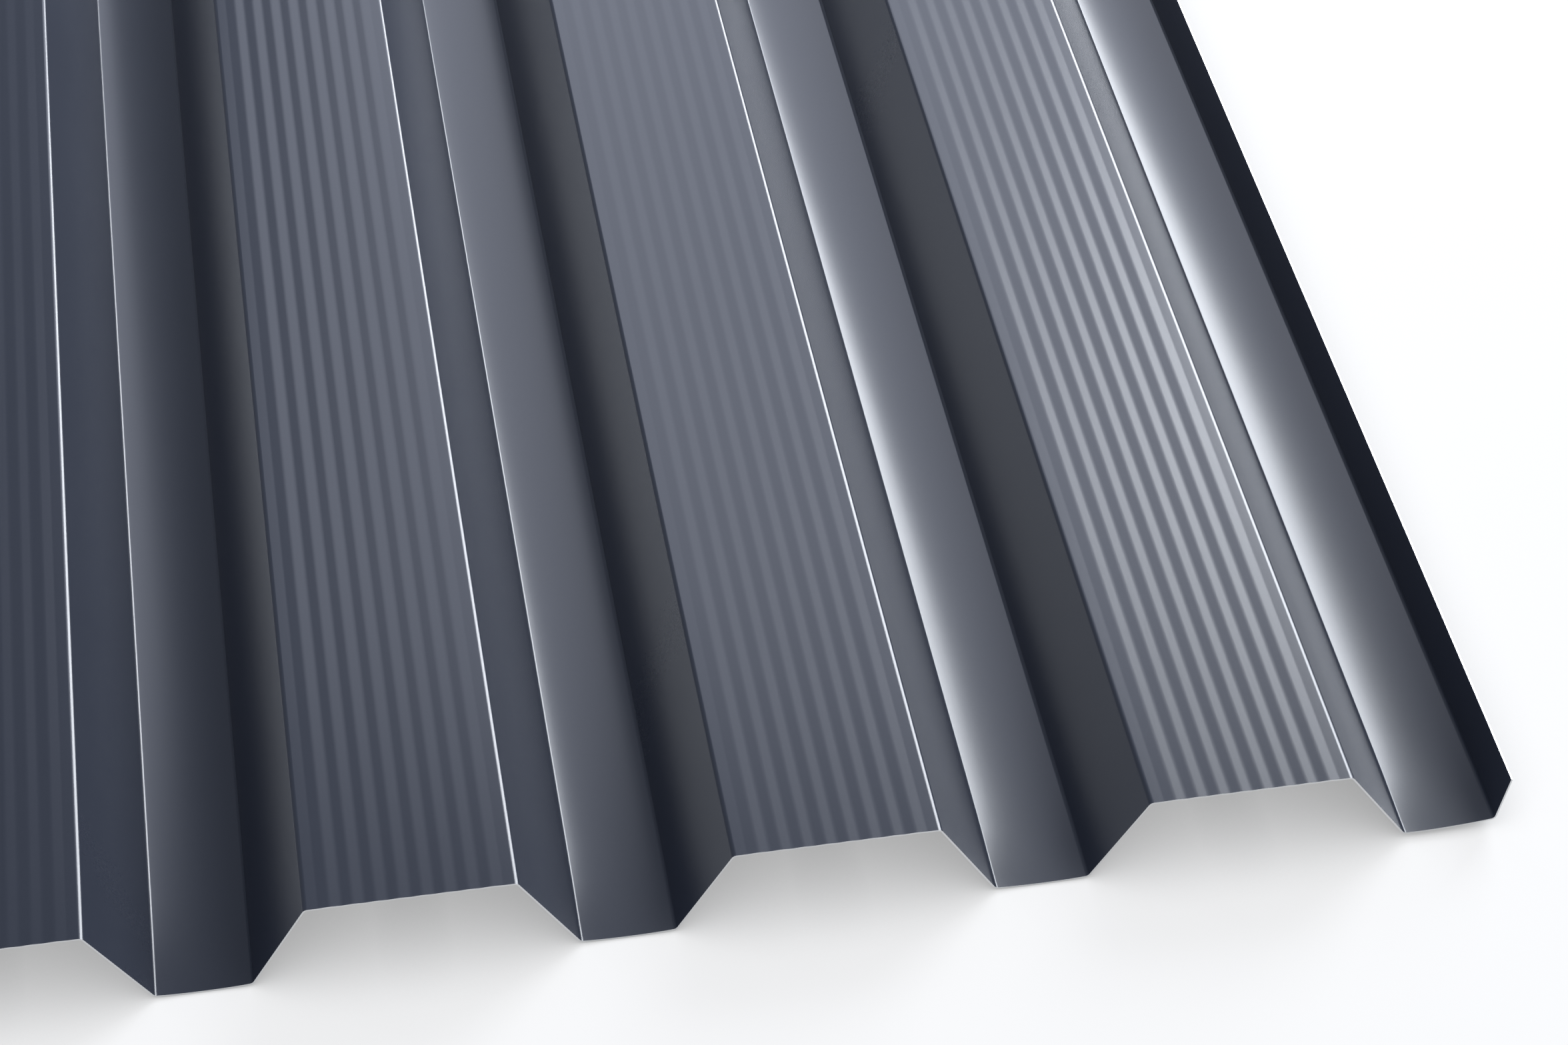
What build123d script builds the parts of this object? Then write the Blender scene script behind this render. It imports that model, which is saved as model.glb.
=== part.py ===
from build123d import *
import math
import os

# A trapezoidal profile sheet: one piece of coated steel, roll formed along its whole
# length. It lies as it rests on a floor, with its narrow troughs down and its wide,
# finely ribbed pans up. Each long edge ends in a trough with a short upright leg, which
# nests in the next sheet where two sheets lap.
# Millimetres. X runs across the sheet, Y along it and Z up, and the origin is on the
# floor under the middle of the sheet.

# Stock
sheet_length = 2000.0
thickness = 0.75
pan_count = 5  # pitches across the sheet, and so the width that it covers

# Profile, measured on the upper surface between the corners before they are rounded
pan_width = 90.5
trough_width = 41.5
web_run = 25.5  # how far across one sloping web reaches
profile_height = 43.0  # from a trough's surface to a pan's, on the same side
bend_inside_radius = 2.0

# The upright leg at each long edge
leg_run = 7.1
leg_rise = 24.0

# Small rounded ribs that stiffen the pans
fine_rib_pitch = 9.8
fine_rib_height = 0.25
fine_rib_radius = 20.0
fine_rib_margin = 5.0  # the least plain width that is left beside a web

# Worked out from the sizes above
pitch = pan_width + trough_width + 2 * web_run
trough_count = pan_count + 1
trough_level = thickness
pan_level = trough_level + profile_height
fine_rib_count = max(0, math.floor((pan_width - 2 * fine_rib_margin) / fine_rib_pitch))
fine_rib_band = fine_rib_count * fine_rib_pitch

# A bend's inside is below a pan's corner and above a trough's corner
pan_bend_radius = bend_inside_radius + thickness
trough_bend_radius = bend_inside_radius

# A fine rib's rounding leaves part of each slope straight
fine_rib_slope = math.hypot(fine_rib_pitch / 2, fine_rib_height)
fine_rib_turn = 2 * math.atan2(fine_rib_height, fine_rib_pitch / 2)
largest_fine_radius = 0.45 * fine_rib_slope / math.tan(fine_rib_turn / 2)
fine_bend_radius = min(fine_rib_radius, largest_fine_radius)


def trough_corners(middle):
    """The two bottom corners of the trough at this X, from left to right."""
    half = trough_width / 2
    return [
        (middle - half, trough_level, trough_bend_radius),
        (middle + half, trough_level, trough_bend_radius),
    ]


def pan_corners(middle):
    """The pan at this X from left to right: its corner, its fine ribs, its corner."""
    half = pan_width / 2
    corners = [(middle - half, pan_level, pan_bend_radius)]
    foot = middle - fine_rib_band / 2
    for rib in range(fine_rib_count):
        crest = foot + (rib + 0.5) * fine_rib_pitch
        corners.append((crest - fine_rib_pitch / 2, pan_level, fine_bend_radius))
        corners.append((crest, pan_level + fine_rib_height, fine_bend_radius))
    if fine_rib_count:
        corners.append((foot + fine_rib_band, pan_level, fine_bend_radius))
    corners.append((middle + half, pan_level, pan_bend_radius))
    return corners


def section_corners():
    """Every corner of the upper surface as (X, Z, bend radius), between the two edges."""
    corners = []
    for number in range(trough_count):
        middle = (number - (trough_count - 1) / 2) * pitch
        corners += trough_corners(middle)
        if number < pan_count:
            corners += pan_corners(middle + pitch / 2)
    return corners


# The upper surface runs from the tip of the left leg to the tip of the right leg
corners = section_corners()
left_foot, right_foot = corners[0][0], corners[-1][0]
left_tip = (left_foot - leg_run, trough_level + leg_rise)
right_tip = (right_foot + leg_run, trough_level + leg_rise)
path = [left_tip] + [(x, z) for x, z, radius in corners] + [right_tip]
radii = [radius for x, z, radius in corners]

# The section is drawn in the XZ plane, given its thickness and drawn out along Y
with BuildPart() as trapezoidal_sheet:
    with BuildSketch(Plane.XZ) as section:
        with BuildLine() as outline:
            FilletPolyline(*path, radius=radii)
            offset(amount=thickness, side=Side.RIGHT)
        make_face()
    extrude(amount=sheet_length / 2, both=True)

trapezoidal_sheet.part.label = "trapezoidal_sheet"

os.makedirs("parts", exist_ok=True)
export_step(trapezoidal_sheet.part, "parts/trapezoidal_sheet.step")
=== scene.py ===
# %% [markdown]
# # A trapezoidal steel sheet, from a frame of real sizes to a finished picture
#
# The object is one sheet of coil-coated steel that a roll former has bent along its
# whole length. Wide pans with small stiffening ribs stand up, and narrow plain troughs
# lie on the floor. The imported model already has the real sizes, and it stays the frame
# that everything here is fitted to. This script builds a finer copy of the same sheet,
# gives it a satin paint, a plain back coat and bare cut edges, and then sets a floor,
# lights and a camera. Every length is in metres.

# %% Load the frame
import math

import bpy
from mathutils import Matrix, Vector


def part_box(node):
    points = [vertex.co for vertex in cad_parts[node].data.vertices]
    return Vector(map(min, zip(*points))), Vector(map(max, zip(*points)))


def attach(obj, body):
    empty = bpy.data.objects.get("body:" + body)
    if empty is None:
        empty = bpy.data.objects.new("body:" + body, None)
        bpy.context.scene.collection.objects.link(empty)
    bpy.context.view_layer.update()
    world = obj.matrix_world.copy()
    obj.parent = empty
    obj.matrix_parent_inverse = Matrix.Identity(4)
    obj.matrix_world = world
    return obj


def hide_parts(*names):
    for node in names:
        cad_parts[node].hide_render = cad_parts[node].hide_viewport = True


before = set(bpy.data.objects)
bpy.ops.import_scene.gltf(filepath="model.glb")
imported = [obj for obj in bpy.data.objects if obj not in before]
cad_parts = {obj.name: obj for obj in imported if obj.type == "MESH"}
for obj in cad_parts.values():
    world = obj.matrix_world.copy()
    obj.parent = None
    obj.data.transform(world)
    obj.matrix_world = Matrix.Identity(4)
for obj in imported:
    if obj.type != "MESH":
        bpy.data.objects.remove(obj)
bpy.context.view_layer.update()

cad_low, cad_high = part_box("trapezoidal_sheet")
MM = 0.001
print("frame box", [round(v, 4) for v in cad_low], [round(v, 4) for v in cad_high])

# %% [markdown]
# ## The sizes of the profile
#
# A roll-formed sheet is described by its section: how wide a pan is, how wide a trough
# is, how far a web leans, and how high the profile stands. These are the sizes that the
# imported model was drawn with, measured on the upper surface between sharp corners. Only
# the fine ribs are a few thousandths of a millimetre lower, so that the finer copy stays
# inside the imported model's box. The length comes straight from the frame.

# %% Name the sizes
PAN_COUNT = 5
PAN_WIDTH = 90.5 * MM
TROUGH_WIDTH = 41.5 * MM
WEB_RUN = 25.5 * MM
PROFILE_HEIGHT = 43.0 * MM
THICKNESS = 0.75 * MM
BEND_INSIDE_RADIUS = 2.0 * MM
LEG_RUN = 7.1 * MM
LEG_RISE = 24.0 * MM
FINE_RIB_COUNT = 8
FINE_RIB_PITCH = 9.8 * MM
FINE_RIB_HEIGHT = 0.245 * MM
FINE_RIB_RADIUS = 20.0 * MM

PITCH = PAN_WIDTH + TROUGH_WIDTH + 2 * WEB_RUN
SHEET_LENGTH = cad_high.y - cad_low.y
print(f"pitch {PITCH / MM:.1f} mm, length {SHEET_LENGTH:.3f} m")

# %% [markdown]
# ## Writing node trees as sums
#
# A node tree is a sum written with boxes and wires, and it is much easier to read as a
# sum. The class below wraps one output socket, so that `1 - mask` or `2 * height` adds
# its Math node by itself. One method, `add`, makes any other node: it takes the node's
# type, then its settings, and then what goes into its sockets. Settings come first,
# because they decide which sockets a node shows. Only the node that joins geometries has
# a method of its own, because all its parts go into the same socket.

# %% Helpers for node trees
class Wire:
    """An output socket of a node tree that ordinary arithmetic works on."""

    def __init__(self, nodes, socket):
        self.nodes = nodes
        self.socket = socket

    def out(self, name):
        """Another output of the same node."""
        return Wire(self.nodes, self.socket.node.outputs[name])

    def math(self, operation, *others, swap=False):
        """A Math node on this value and the others. With swap, this value comes last."""
        values = (*others, self) if swap else (self, *others)
        return self.nodes.add("ShaderNodeMath", {"operation": operation}, dict(enumerate(values)))

    def __add__(self, other):
        return self.math("ADD", other)

    def __sub__(self, other):
        return self.math("SUBTRACT", other)

    def __rsub__(self, other):
        return self.math("SUBTRACT", other, swap=True)

    def __mul__(self, other):
        return self.math("MULTIPLY", other)

    def __truediv__(self, other):
        return self.math("DIVIDE", other)

    def __neg__(self):
        return self.math("MULTIPLY", -1)

    def __pow__(self, other):
        return self.math("POWER", other)

    __radd__ = __add__
    __rmul__ = __mul__


class Nodes:
    """A node tree that nodes are added to with one method."""

    def __init__(self, tree):
        self.tree = tree

    def add(self, kind, settings=None, sockets=None):
        """Adds a node and returns its first output. A socket's key is its name or its place."""
        node = self.tree.nodes.new(kind)
        for name, value in (settings or {}).items():
            if name == "stops":
                self.set_stops(node.color_ramp, value)
            else:
                setattr(node, name, value)
        shown = [socket for socket in node.inputs if socket.enabled]
        for key, value in (sockets or {}).items():
            socket = shown[key] if isinstance(key, int) else next(s for s in shown if s.name == key)
            if isinstance(value, Wire):
                self.tree.links.new(value.socket, socket)
            else:
                socket.default_value = value
        outputs = [socket for socket in node.outputs if socket.enabled]
        return Wire(self, outputs[0]) if outputs else None

    def set_stops(self, ramp, stops):
        """Gives a colour ramp its stops, each a place from 0 to 1 and a grey level."""
        while len(ramp.elements) < len(stops):
            ramp.elements.new(1.0)
        for element, (place, level) in zip(ramp.elements, stops):
            element.position = place
            element.color = (level, level, level, 1.0)

    def join(self, *parts):
        """Joins several geometries into one."""
        node = self.tree.nodes.new("GeometryNodeJoinGeometry")
        for part in reversed(parts):
            self.tree.links.new(part.socket, node.inputs[0])
        return Wire(self, node.outputs[0])

    def vector(self, x=0.0, y=0.0, z=0.0):
        """A vector from three numbers or wires."""
        return self.add("ShaderNodeCombineXYZ", None, {"X": x, "Y": y, "Z": z})

    def axes(self, vector):
        """The X, Y and Z of a vector, as three wires."""
        split = self.add("ShaderNodeSeparateXYZ", None, {0: vector})
        return split, split.out("Y"), split.out("Z")


# %% [markdown]
# ## The paint, the back coat and the cut edge
#
# Coil coating is a thin satin paint that goes on before the sheet is bent, so it runs
# over bends without a break. Its colour here is a dark blue grey. What makes it look
# like paint on metal and not like plastic is the way it shines: a soft, fairly tight
# reflection that turns every bend into a bright line. A real coating has a very fine
# orange peel and is a little uneven in shade and gloss, so a small noise drives the
# colour, the roughness and a bump. The back coat is a thin pale primer, and the cut edges
# show bare zinc and steel. Whether a surface is metal is the same all over it, so that
# number is set on the shader's own socket.

# %% Make the three finishes
COATING_COLOR = (0.032, 0.037, 0.052)
BACK_COLOR = (0.42, 0.43, 0.42)
EDGE_COLOR = (0.62, 0.63, 0.64)
PATCH_SIZE = 70 * MM
PEEL_SIZE = 1.6 * MM
PEEL_DEPTH = 0.004 * MM
NOISE_DETAIL = 2.0
NOISE_ROUGHNESS = 0.5


def new_finish(name):
    """A material with an empty tree, ready for its nodes."""
    material = bpy.data.materials.new(name)
    material.use_nodes = True
    material.node_tree.nodes.clear()
    return material, Nodes(material.node_tree)


def noise(nodes, place, size):
    """A soft noise from 0 to 1 whose lumps are about this size."""
    sockets = {"Vector": place, "Scale": 1 / size, "Detail": NOISE_DETAIL, "Roughness": NOISE_ROUGHNESS}
    return nodes.add("ShaderNodeTexNoise", {"noise_dimensions": "3D"}, sockets)


def paint_finish(name, color, roughness, shade_range, gloss_range, metallic=0.0):
    """A coating whose shade and gloss drift a little, with a fine orange peel."""
    material, nodes = new_finish(name)
    place = nodes.add("ShaderNodeTexCoord").out("Object")
    grain = noise(nodes, place, PEEL_SIZE)
    unevenness = noise(nodes, place, PATCH_SIZE) + grain - 1
    shade = 1 + unevenness * shade_range
    tint = nodes.add("ShaderNodeVectorMath", {"operation": "SCALE"}, {0: color, "Scale": shade})
    bump = nodes.add("ShaderNodeBump", None, {"Strength": 1.0, "Distance": PEEL_DEPTH, "Height": grain})
    surface = nodes.add("ShaderNodeBsdfPrincipled", None, {
        "Base Color": tint, "Roughness": roughness + unevenness * gloss_range,
        "Normal": bump, "Metallic": metallic})
    nodes.add("ShaderNodeOutputMaterial", None, {"Surface": surface})
    return material


coating = paint_finish("satin_coating", COATING_COLOR, roughness=0.25, shade_range=0.06, gloss_range=0.02)
back_coat = paint_finish("back_coat", BACK_COLOR, roughness=0.5, shade_range=0.08, gloss_range=0.08)
cut_edge = paint_finish("cut_edge", EDGE_COLOR, roughness=0.38, shade_range=0.2, gloss_range=0.2,
                        metallic=1.0)
print("finishes:", [material.name for material in (coating, back_coat, cut_edge)])

# %% [markdown]
# ## What the tree takes in
#
# The sheet could be modelled by hand, but a roll former only knows a few sizes, and a
# Geometry Nodes tree can work from the same few. Each one is a named input, and one table
# below holds every input with its value. The tree's sockets are made from the table, and
# the modifier is filled from it, so a size changed there changes the whole sheet.
#
# Besides the sizes of the profile it holds how finely the bends and floors are divided,
# and how far this sheet is out of true.

# %% Name the tree's inputs
BEND_STEPS = 8
FINE_BEND_STEPS = 4
TROUGH_STEPS = 10
LENGTH_ROWS = 49
FLOOR_DISH = 1.36 * MM
FLOOR_DISH_POWER = 2
BEND_DISH = 0.47 * MM
BEND_DISH_POWER = 6
END_DISH_SHARE = 0.45
END_LENGTH = 40 * MM
EDGE_TURN = math.radians(3.1)

SHEET_INPUTS = {
    "Pan Width": PAN_WIDTH, "Trough Width": TROUGH_WIDTH, "Web Run": WEB_RUN,
    "Profile Height": PROFILE_HEIGHT, "Trough Level": THICKNESS,
    "Pan Bend Radius": BEND_INSIDE_RADIUS + THICKNESS, "Trough Bend Radius": BEND_INSIDE_RADIUS,
    "Leg Run": LEG_RUN, "Leg Rise": LEG_RISE, "Fine Rib Pitch": FINE_RIB_PITCH,
    "Fine Rib Height": FINE_RIB_HEIGHT, "Fine Rib Radius": FINE_RIB_RADIUS,
    "Sheet Length": SHEET_LENGTH, "Floor Dish": FLOOR_DISH, "Bend Dish": BEND_DISH,
    "End Dish Share": END_DISH_SHARE, "End Length": END_LENGTH, "Edge Turn": EDGE_TURN,
    "Pan Count": PAN_COUNT, "Fine Rib Count": FINE_RIB_COUNT, "Bend Steps": BEND_STEPS,
    "Fine Bend Steps": FINE_BEND_STEPS, "Trough Steps": TROUGH_STEPS, "Rows": LENGTH_ROWS,
    "Coating": coating,
}
SOCKET_KINDS = {float: "NodeSocketFloat", int: "NodeSocketInt"}


def new_sheet_tree():
    """A tree that only has its inputs yet, and those inputs by name, as wires."""
    tree = bpy.data.node_groups.new("Roll-formed sheet", "GeometryNodeTree")
    for name, value in SHEET_INPUTS.items():
        kind = SOCKET_KINDS.get(type(value), "NodeSocketMaterial")
        tree.interface.new_socket(name, in_out="INPUT", socket_type=kind)
    tree.interface.new_socket("Geometry", in_out="OUTPUT", socket_type="NodeSocketGeometry")
    nodes = Nodes(tree)
    given = nodes.add("NodeGroupInput")
    size = {name: given.out(name) for name in SHEET_INPUTS}
    # These four are worked out from the inputs
    size["Pitch"] = size["Pan Width"] + size["Trough Width"] + 2 * size["Web Run"]
    size["Pan Level"] = size["Trough Level"] + size["Profile Height"]
    size["Trough Count"] = size["Pan Count"] + 1
    size["Half Width"] = ((size["Trough Count"] - 1) * size["Pitch"] / 2 + size["Trough Width"] / 2
                          + size["Leg Run"])
    return nodes, size


print(len(SHEET_INPUTS), "inputs")

# %% [markdown]
# ## The section as a rule
#
# The profile could be drawn corner by corner, but it repeats, and so can the nodes. Lines
# of points stand for the corners of one trough and one pan, the pan's fine ribs are a
# line of points with every second one raised, and instances repeat them across the
# sheet. Sorted by X, all the points make one polyline, because no part of this section
# leans back over another. Each corner carries its own bend radius, and one Fillet Curve
# node rounds them all.

# %% Draw the rounded section
def line(nodes, count, start, step):
    """A row of points along X."""
    sockets = {"Count": count, "Start Location": start, "Offset": nodes.vector(step)}
    return nodes.add("GeometryNodeMeshLine", {"mode": "OFFSET"}, sockets)


def bend(nodes, geometry, radius, steps):
    """Stores on each point how its corner is to be rounded."""
    settings = {"data_type": "FLOAT", "domain": "POINT"}
    for name, value in (("bend_radius", radius), ("bend_steps", steps)):
        sockets = {"Geometry": geometry, "Name": name, "Value": value}
        geometry = nodes.add("GeometryNodeStoreNamedAttribute", settings, sockets)
    return geometry


def stored(nodes, name):
    """A number that was stored on the points."""
    return nodes.add("GeometryNodeInputNamedAttribute", {"data_type": "FLOAT"}, {"Name": name})


def repeat(nodes, geometry, count, pitch):
    """Copies of a piece of the section, one pitch apart and centred on the sheet."""
    start = nodes.vector((1 - count) * pitch / 2)
    sockets = {"Points": line(nodes, count, start, pitch), "Instance": geometry}
    copies = nodes.add("GeometryNodeInstanceOnPoints", None, sockets)
    return nodes.add("GeometryNodeRealizeInstances", None, {"Geometry": copies})


def trough_points(nodes, size):
    """The two corners of one trough, and the points of its floor between them."""
    start = nodes.vector(-size["Trough Width"] / 2, 0.0, size["Trough Level"])
    step = size["Trough Width"] / size["Trough Steps"]
    points = line(nodes, size["Trough Steps"] + 1, start, step)
    index = nodes.add("GeometryNodeInputIndex")
    is_corner = index.math("MODULO", size["Trough Steps"]).math("LESS_THAN", 1.0)
    return bend(nodes, points, size["Trough Bend Radius"] * is_corner, size["Bend Steps"])


def pan_points(nodes, size):
    """The two corners of one pan, and the feet and crests of its fine ribs."""
    band = size["Fine Rib Count"] * size["Fine Rib Pitch"]
    band_start = nodes.vector(-band / 2, 0.0, size["Pan Level"])
    ribs = line(nodes, 2 * size["Fine Rib Count"] + 1, band_start, size["Fine Rib Pitch"] / 2)
    is_crest = nodes.add("GeometryNodeInputIndex").math("MODULO", 2.0)
    raised = nodes.vector(z=is_crest * size["Fine Rib Height"])
    ribs = nodes.add("GeometryNodeSetPosition", None, {"Geometry": ribs, "Offset": raised})
    ribs = bend(nodes, ribs, size["Fine Rib Radius"], size["Fine Bend Steps"])
    pan_start = nodes.vector(-size["Pan Width"] / 2, 0.0, size["Pan Level"])
    edges = line(nodes, 2, pan_start, size["Pan Width"])
    return nodes.join(ribs, bend(nodes, edges, size["Pan Bend Radius"], size["Bend Steps"]))


def rounded_section(nodes, size):
    """The section of the upper surface as one polyline with rounded corners."""
    troughs = repeat(nodes, trough_points(nodes, size), size["Trough Count"], size["Pitch"])
    pans = repeat(nodes, pan_points(nodes, size), size["Pan Count"], size["Pitch"])
    tip_start = nodes.vector(-size["Half Width"], 0.0, size["Trough Level"] + size["Leg Rise"])
    tips = bend(nodes, line(nodes, 2, tip_start, 2 * size["Half Width"]), radius=0.0, steps=1.0)
    points = nodes.add("GeometryNodeMeshToPoints", None, {"Mesh": nodes.join(troughs, pans, tips)})
    across, _, _ = nodes.axes(nodes.add("GeometryNodeInputPosition"))
    sharp = nodes.add("GeometryNodePointsToCurves", None, {"Points": points, "Weight": across})
    return nodes.add("GeometryNodeFilletCurve", {"mode": "POLY"}, {
        "Curve": sharp, "Count": stored(nodes, "bend_steps"),
        "Radius": stored(nodes, "bend_radius"), "Limit Radius": True})


# %% [markdown]
# ## A sheet that isn't quite true
#
# A grid takes its shape from the rounded section: each column of the grid is one point
# of the section, and its rows run along the sheet, closer together near the ends.
#
# A real sheet is never quite true, and satin paint shows it. The narrow trough floors
# come out of the rolls slightly dished, less so at a cut end. The trough at each long
# edge has no second web to hold it, so it has sprung up by a few degrees at its last
# bends. Both show mostly in the reflections, and both are a few more sums on the grid.

# %% Build the tree that shapes the sheet
def grid_on_section(nodes, size, section):
    """A grid with a column for each point of the section, and X, Y and Z on the true sheet."""
    count = nodes.add("GeometryNodeAttributeDomainSize", {"component": "CURVE"}, {"Geometry": section})
    grid = nodes.add("GeometryNodeMeshGrid", None, {
        "Size X": count - 1, "Size Y": 1.0, "Vertices X": count, "Vertices Y": size["Rows"]})
    position = nodes.add("GeometryNodeInputPosition")
    across, along, _ = nodes.axes(position)
    column = (across + (count - 1) / 2).math("ROUND")
    sampled = nodes.add("GeometryNodeSampleIndex", {"data_type": "FLOAT_VECTOR", "domain": "POINT"},
                        {"Geometry": section, "Value": position, "Index": column})
    x, _, z = nodes.axes(sampled)
    # The grid runs from -0.5 to 0.5 along the sheet, and the sine packs its rows near the ends
    y = (along * math.pi).math("SINE") * size["Sheet Length"] / 2
    return grid, x, y, z


def floor_dish(size, x, y, z):
    """How far a point is raised by the dish of the nearest trough."""
    # Counted from half a pitch left of the first trough, each trough is in the middle of a pitch
    from_left = x + size["Trough Count"] * size["Pitch"] / 2
    from_middle = from_left.math("FLOORED_MODULO", size["Pitch"]) - size["Pitch"] / 2
    share = (from_middle * 2 / size["Trough Width"]).math("ABSOLUTE").math("MINIMUM", 1.0)
    below_pan = (1 - (z - size["Trough Level"]) / size["Profile Height"]).math("MAXIMUM", 0.0)
    from_end = size["Sheet Length"] / 2 - y.math("ABSOLUTE")
    inwards = (from_end / size["End Length"]).math("MINIMUM", 1.0)
    # A smooth step from 0 at the cut end to 1 at the end length
    ease = inwards ** 2 * (3 - 2 * inwards)
    calm = size["End Dish Share"] + (1 - size["End Dish Share"]) * ease
    floor_part = share ** FLOOR_DISH_POWER * size["Floor Dish"]
    bend_part = share ** BEND_DISH_POWER * size["Bend Dish"]
    return (floor_part + bend_part) * below_pan * calm


def edges_turned(nodes, size, x, y, z):
    """The place of each point once the edge troughs and their legs have swung up."""
    side = x.math("SIGN")
    leg_foot = size["Half Width"] - size["Leg Run"]
    last_bend = leg_foot - size["Trough Width"] - size["Web Run"]
    place = nodes.vector(x, y, z)
    # The leg turns about its foot, and then again with its trough about the pan's last bend
    for bend_x, bend_z in ((leg_foot, size["Trough Level"]), (last_bend, size["Pan Level"])):
        is_outside = x.math("ABSOLUTE").math("GREATER_THAN", bend_x)
        place = nodes.add("ShaderNodeVectorRotate", {"rotation_type": "Y_AXIS"}, {
            "Vector": place, "Center": nodes.vector(side * bend_x, y, bend_z),
            "Angle": -side * is_outside * size["Edge Turn"]})
    return place


def sheet_tree():
    """The geometry tree of the sheet's upper surface."""
    nodes, size = new_sheet_tree()
    grid, x, y, z = grid_on_section(nodes, size, rounded_section(nodes, size))
    place = edges_turned(nodes, size, x, y, z + floor_dish(size, x, y, z))
    shaped = nodes.add("GeometryNodeSetPosition", None, {"Geometry": grid, "Position": place})
    smooth = nodes.add("GeometryNodeSetShadeSmooth", None, {"Geometry": shaped, "Shade Smooth": True})
    real = nodes.add("GeometryNodeRealizeInstances", None, {"Geometry": smooth})
    painted = nodes.add("GeometryNodeSetMaterial", None, {"Geometry": real, "Material": size["Coating"]})
    nodes.add("NodeGroupOutput", None, {"Geometry": painted})
    return nodes.tree


# %% [markdown]
# ## From the rule to a sheet of steel
#
# The tree gives the upper surface only. A Solidify modifier is the plainest way to give
# a bent sheet its thickness: it goes downwards by the real gauge, and its material
# offsets put the back coat underneath and bare metal on the rim. The result is taken as
# a plain mesh, so nothing depends on the tree any more. Angles over 40 degrees are the
# cut edges, which stay sharp, and a Weighted Normal modifier lets each flat face keep its
# own direction, so that only the bends catch the light.

# %% Bake the sheet
SHARP_EDGE = math.radians(40)


def as_plain_mesh(source, name):
    """The evaluated shape of an object as a new object without modifiers."""
    depsgraph = bpy.context.evaluated_depsgraph_get()
    mesh = bpy.data.meshes.new_from_object(source.evaluated_get(depsgraph), depsgraph=depsgraph)
    mesh.name = name
    plain = bpy.data.objects.new(name, mesh)
    bpy.context.scene.collection.objects.link(plain)
    bpy.data.objects.remove(source)
    return plain


def make_sheet():
    """The sheet as one closed, painted mesh."""
    rolled = bpy.data.objects.new("rolled", bpy.data.meshes.new("rolled"))
    bpy.context.scene.collection.objects.link(rolled)
    # A grid starts with an empty first slot, so the finishes sit in slots 1 to 3 until it is taken out
    for material in (None, coating, back_coat, cut_edge):
        rolled.data.materials.append(material)
    tree = sheet_tree()
    shape = rolled.modifiers.new("Roll forming", "NODES")
    shape.node_group = tree
    for item in tree.interface.items_tree:
        if item.in_out == "INPUT":
            shape[item.identifier] = SHEET_INPUTS[item.name]
    gauge = rolled.modifiers.new("Sheet thickness", "SOLIDIFY")
    gauge.thickness = THICKNESS
    gauge.offset = -1.0
    gauge.use_even_offset = True
    gauge.material_offset = 1
    gauge.material_offset_rim = 2
    solid = as_plain_mesh(rolled, "solid")
    solid.data.materials.append(back_coat)
    solid.data.materials.append(cut_edge)
    solid.data.materials.pop(index=0)
    solid.data.set_sharp_from_angle(angle=SHARP_EDGE)
    even = solid.modifiers.new("Flat faces lead", "WEIGHTED_NORMAL")
    even.mode = "FACE_AREA"
    even.keep_sharp = True
    return as_plain_mesh(solid, "painted_sheet")


sheet = make_sheet()
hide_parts("trapezoidal_sheet")
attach(sheet, "root")
corner_list = [sheet.matrix_world @ Vector(corner) for corner in sheet.bound_box]
print("sheet:", len(sheet.data.vertices), "points,", len(sheet.data.polygons), "faces, from",
      [round(min(c[k] for c in corner_list), 5) for k in range(3)], "to",
      [round(max(c[k] for c in corner_list), 5) for k in range(3)])

# %% [markdown]
# ## A white floor with faint real shadows and a painted shade
#
# The picture needs a white ground without more light on the object. The floor is matt
# and white, and where the camera or a reflection looks at it, most of what it shows is a
# white glow, so its open parts come out white. An Ambient Occlusion node measures how
# much of the room the sheet hides from each spot, and dims the glow there. This is a
# painted shade that gives the edges a soft grey. The lamps' own shadows stay too, but faint.

# %% Lay the floor
FLOOR_SIZE = 40.0
FLOOR_DROP = 0.3 * MM
FLOOR_WHITE = (0.96, 0.96, 0.96, 1.0)
GLOW_SHARE = 0.8
SHADE_REACH = 75 * MM
SHADE_SAMPLES = 16
PAINTED_SHADE_STOPS = ((0.12, 0.42), (0.85, 1.0))


def make_floor():
    """A large square just under the sheet."""
    half = FLOOR_SIZE / 2
    mesh = bpy.data.meshes.new("floor")
    square = [(-half, -half), (half, -half), (half, half), (-half, half)]
    mesh.from_pydata([(x, y, -FLOOR_DROP) for x, y in square], [], [(0, 1, 2, 3)])
    floor = bpy.data.objects.new("floor", mesh)
    bpy.context.scene.collection.objects.link(floor)
    material, nodes = new_finish("white_floor")
    path = nodes.add("ShaderNodeLightPath")
    seen = path.math("MAXIMUM", path.out("Is Glossy Ray")).math("MAXIMUM", path.out("Is Transmission Ray"))
    matt = nodes.add("ShaderNodeBsdfDiffuse", None, {"Color": FLOOR_WHITE})
    openness = nodes.add("ShaderNodeAmbientOcclusion", {"samples": SHADE_SAMPLES},
                         {"Distance": SHADE_REACH}).out("AO")
    # The ramp paints shade into the glow, grey where the sheet stands close over the floor
    shade = nodes.add("ShaderNodeValToRGB", {"stops": PAINTED_SHADE_STOPS}, {"Fac": openness})
    glow = nodes.add("ShaderNodeEmission", None, {"Color": shade, "Strength": 1.0})
    mixed = nodes.add("ShaderNodeMixShader", None, {0: seen * GLOW_SHARE, 1: matt, 2: glow})
    nodes.add("ShaderNodeOutputMaterial", None, {"Surface": mixed})
    mesh.materials.append(material)


make_floor()

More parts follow.
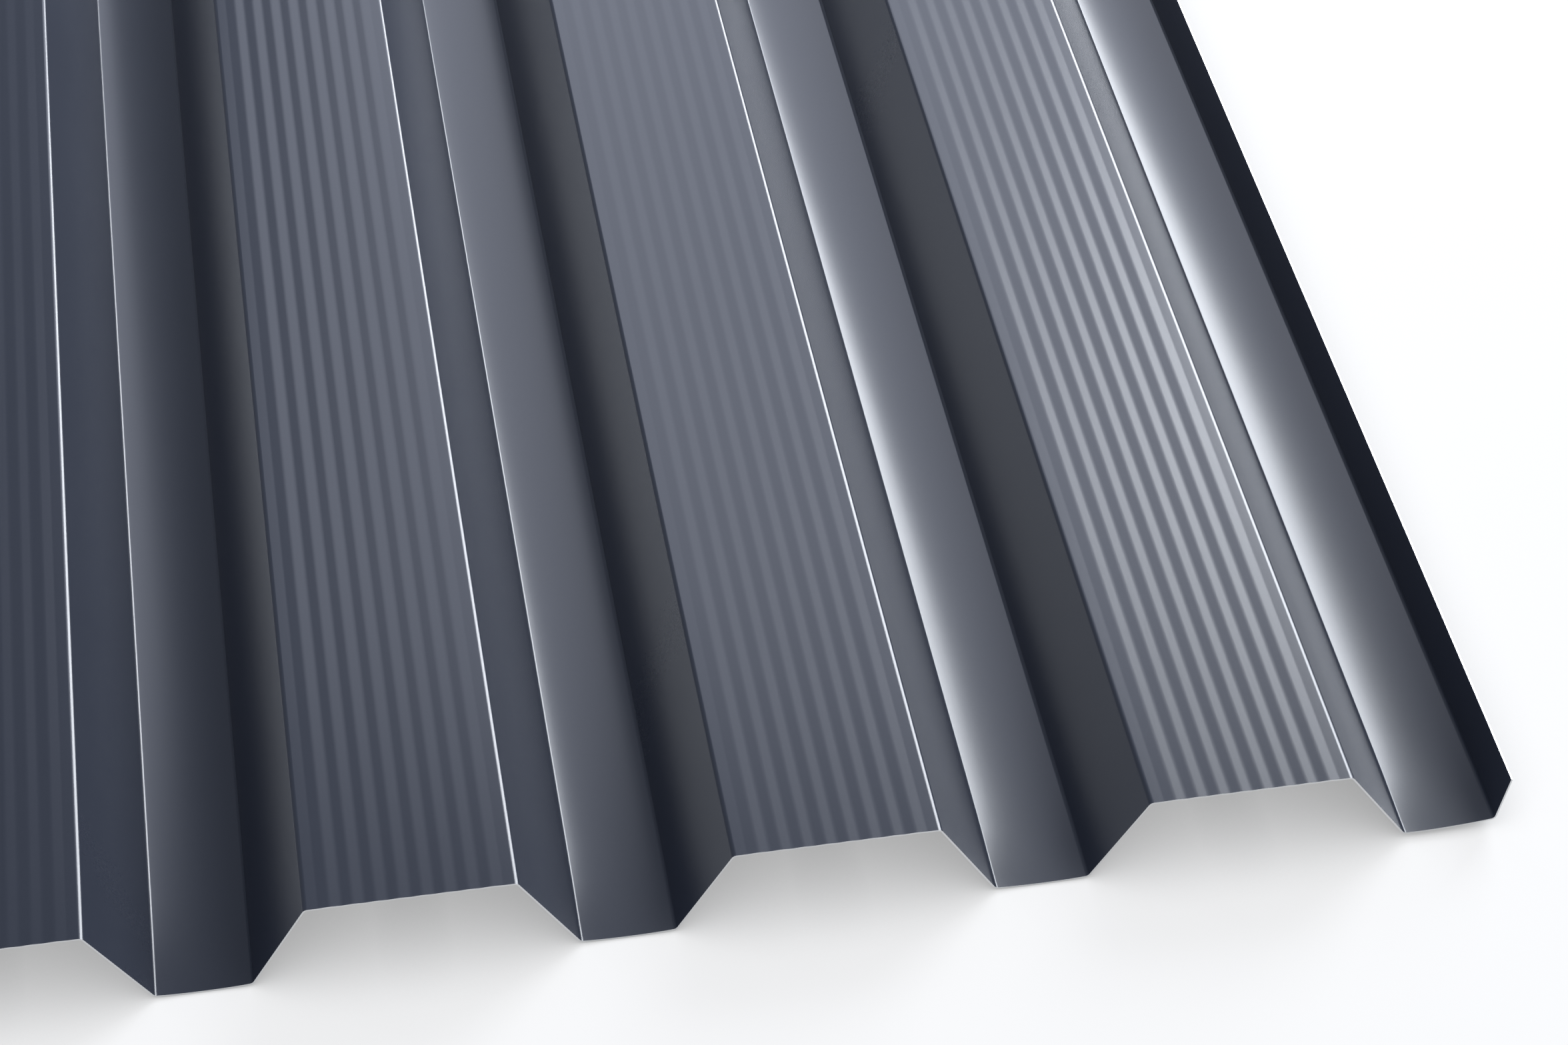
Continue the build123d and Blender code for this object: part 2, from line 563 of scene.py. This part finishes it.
# %% [markdown]
# ## Light
#
# Satin paint shows its lamps, so a lamp is placed by where its reflection has to fall.
# A large bright box stands far off, behind the sheet on the right. Its reflection runs
# down the left of each trough floor, along the fine ribs on the right and along every
# bend that faces it. A much dimmer blue panel hangs close over the far end, and gives the
# pans and floors their sheen. An even sky of cool grey fills the rest, so the webs that
# face left go dark but not black.

# %% Set the lamps and the sky
SKY_LEVEL = 0.33
SKY_TINT = (0.91, 1.0, 1.20, 1.0)
LAMP_TARGET = Vector((0.1, -0.6, 0.0))


def make_lamp(name, round_angle, height_angle, distance, width, height, brightness, tint):
    """A soft box that faces the visible end, placed by its angles behind the sheet and above the floor."""
    round_angle, height_angle = math.radians(round_angle), math.radians(height_angle)
    level = math.cos(height_angle)
    towards = Vector((math.sin(round_angle) * level, math.cos(round_angle) * level, math.sin(height_angle)))
    lamp = bpy.data.lights.new(name, "AREA")
    lamp.shape = "RECTANGLE"
    lamp.size = width
    lamp.size_y = height
    # A matt face of brightness 1 gives off pi watts from each square metre
    lamp.energy = brightness * math.pi * width * height
    lamp.color = tint
    holder = bpy.data.objects.new(name, lamp)
    holder.location = LAMP_TARGET + towards * distance
    holder.rotation_euler = (-towards).to_track_quat("-Z", "Y").to_euler()
    holder.visible_camera = False
    bpy.context.scene.collection.objects.link(holder)
    print(f"{name}: {lamp.energy:.0f} W")


make_lamp("key_box", round_angle=40.6, height_angle=26.7, distance=5.67,
          width=2.71, height=3.35, brightness=15.1, tint=(0.96, 1.0, 1.06))
make_lamp("sheen_panel", round_angle=13.9, height_angle=31.2, distance=1.56,
          width=0.90, height=1.44, brightness=1.75, tint=(0.95, 1.0, 1.16))

world = bpy.data.worlds.new("grey_sky")
world.use_nodes = True
world.node_tree.nodes.clear()
sky_nodes = Nodes(world.node_tree)
sky = sky_nodes.add("ShaderNodeBackground", None, {"Color": SKY_TINT, "Strength": SKY_LEVEL})
sky_nodes.add("ShaderNodeOutputWorld", None, {"Surface": sky})
bpy.context.scene.world = world

# %% [markdown]
# ## The camera
#
# The photograph looks along the sheet from its near end, from above and a little from
# the left, through a fairly long lens. The place, the aim and the lens below were worked
# out from the straight bend lines and the cut end in the photograph.

# %% Place the camera
CAMERA_PLACE = (-0.0175, -2.0436, 1.2200)
CAMERA_AIM = (0.2019, -0.7513, 0.0)
LENS_MM = 84.69
SENSOR_MM = 36.0


def make_camera():
    """The camera at the photograph's viewing angle."""
    data = bpy.data.cameras.new("camera")
    data.lens = LENS_MM
    data.sensor_width = SENSOR_MM
    camera = bpy.data.objects.new("camera", data)
    camera.location = CAMERA_PLACE
    look = Vector(CAMERA_AIM) - Vector(CAMERA_PLACE)
    camera.rotation_euler = look.to_track_quat("-Z", "Y").to_euler()
    bpy.context.scene.collection.objects.link(camera)
    bpy.context.scene.camera = camera


make_camera()
bpy.context.scene.view_settings.view_transform = "Standard"
